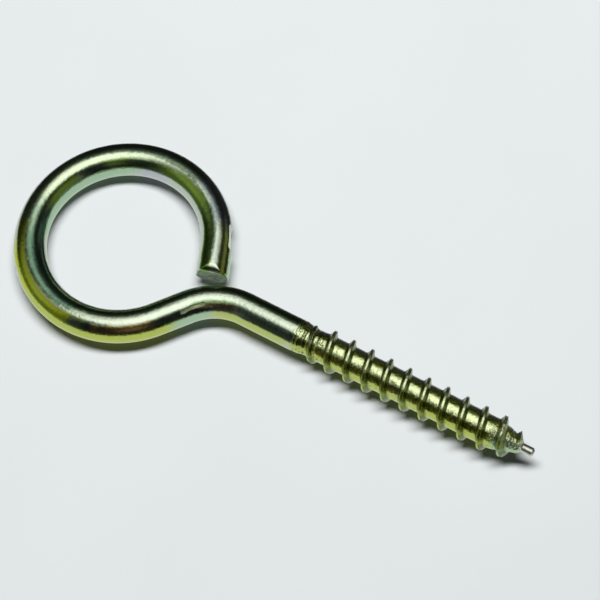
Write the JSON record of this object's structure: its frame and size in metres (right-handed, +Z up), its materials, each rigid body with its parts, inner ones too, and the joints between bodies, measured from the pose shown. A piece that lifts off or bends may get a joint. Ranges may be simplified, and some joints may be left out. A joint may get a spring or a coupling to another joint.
{
  "type": "screw eye",
  "caption": "Steel wire bent into a nearly closed round eye, with an offset neck, a plain shank, a coarse right-hand wood thread and a short nubbed point; yellow-green plated.",
  "frame": {"origin": "on the floor, under the middle of the piece's length and width", "axes": "+X along the shank, towards the point; +Y across the eye, towards the free end's side; +Z up, through the eye's opening"},
  "size_m": [0.109, 0.0424, 0.0082],
  "materials": {
    "plated_wire": "bright zinc plating with an iridescent yellow-green chromate film"
  },
  "bodies": {
    "root": {"screw_eye": "plated_wire"}
  },
  "joints": []
}
